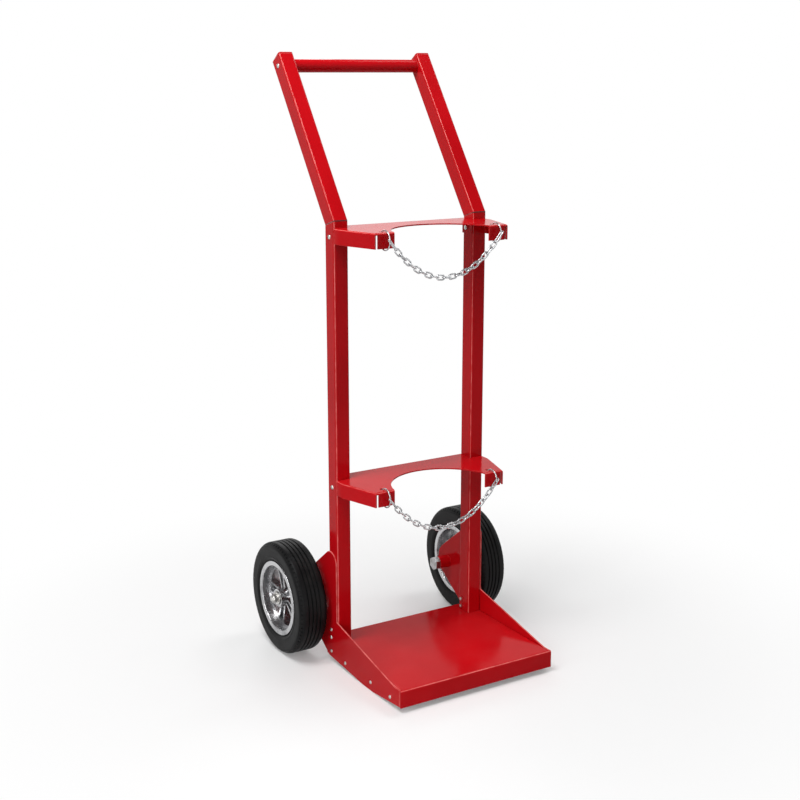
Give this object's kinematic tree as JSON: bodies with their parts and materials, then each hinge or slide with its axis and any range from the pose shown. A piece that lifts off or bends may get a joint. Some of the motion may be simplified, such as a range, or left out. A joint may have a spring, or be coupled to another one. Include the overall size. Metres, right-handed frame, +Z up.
{
  "type": "gas cylinder trolley",
  "caption": "Upright hand trolley for one gas cylinder: tube frame with leaning handle, two cradles with chains, folded base plate and spoked wheels.",
  "frame": {"origin": "on the floor, under the middle of the footprint", "axes": "+Z up, -Y towards the load and the base plate, +X to the right when seen from the load side"},
  "size_m": [0.601, 0.567, 1.3913],
  "materials": {
    "red_paint": "gloss red powder coat",
    "zinc_fasteners": "bright zinc plate",
    "zinc_chain": "bright zinc-plated wire",
    "bare_steel": "turned bare steel",
    "cast_alloy": "polished cast aluminium",
    "tyre_rubber": "black rubber"
  },
  "bodies": {
    "frame": {"left_upright": "red_paint", "right_upright": "red_paint", "upright_foot_caps": "red_paint", "left_handle_arm": "red_paint", "right_handle_arm": "red_paint", "handle_arm_caps": "red_paint", "handle_bar": "red_paint", "upper_cradle": "red_paint", "lower_cradle": "red_paint", "base_plate": "red_paint", "left_side_plate": "red_paint", "right_side_plate": "red_paint", "axle_tube": "red_paint", "handle_bolts": "zinc_fasteners", "upper_cradle_bolts": "zinc_fasteners", "upper_cradle_nuts": "zinc_fasteners", "lower_cradle_bolts": "zinc_fasteners", "lower_cradle_nuts": "zinc_fasteners", "left_side_bolts": "zinc_fasteners", "right_side_bolts": "zinc_fasteners", "left_side_nuts": "zinc_fasteners", "right_side_nuts": "zinc_fasteners", "axle_collars": "zinc_fasteners", "axle_washers": "zinc_fasteners", "axle_cap_nuts": "zinc_fasteners", "axle": "bare_steel", "handle_bar_plugs": "bare_steel"},
    "left_wheel": {"left_tyre": "tyre_rubber", "left_rim": "cast_alloy", "left_bearings": "bare_steel", "left_bearing_spacer": "bare_steel"},
    "right_wheel": {"right_tyre": "tyre_rubber", "right_rim": "cast_alloy", "right_bearings": "bare_steel", "right_bearing_spacer": "bare_steel"},
    "upper_chain": {"upper_chain_rings": "zinc_chain", "upper_chain_end_links": "zinc_chain", "upper_chain_links": "zinc_chain"},
    "lower_chain": {"lower_chain_rings": "zinc_chain", "lower_chain_end_links": "zinc_chain", "lower_chain_links": "zinc_chain"}
  },
  "joints": [
    {"name": "left_wheel_spin", "type": "hinge", "parent": "frame", "child": "left_wheel", "pos_m": [-0.252, 0.14855, 0.134], "axis": [1, 0, 0], "continuous": true},
    {"name": "right_wheel_spin", "type": "hinge", "parent": "frame", "child": "right_wheel", "pos_m": [0.252, 0.14855, 0.134], "axis": [1, 0, 0], "continuous": true},
    {"name": "upper_chain_swing", "type": "hinge", "parent": "frame", "child": "upper_chain", "pos_m": [0, -0.11946, 1.002], "axis": [-1, 0, 0], "range_deg": [0, 60]},
    {"name": "lower_chain_swing", "type": "hinge", "parent": "frame", "child": "lower_chain", "pos_m": [0, -0.11946, 0.433], "axis": [-1, 0, 0], "range_deg": [0, 60]}
  ]
}
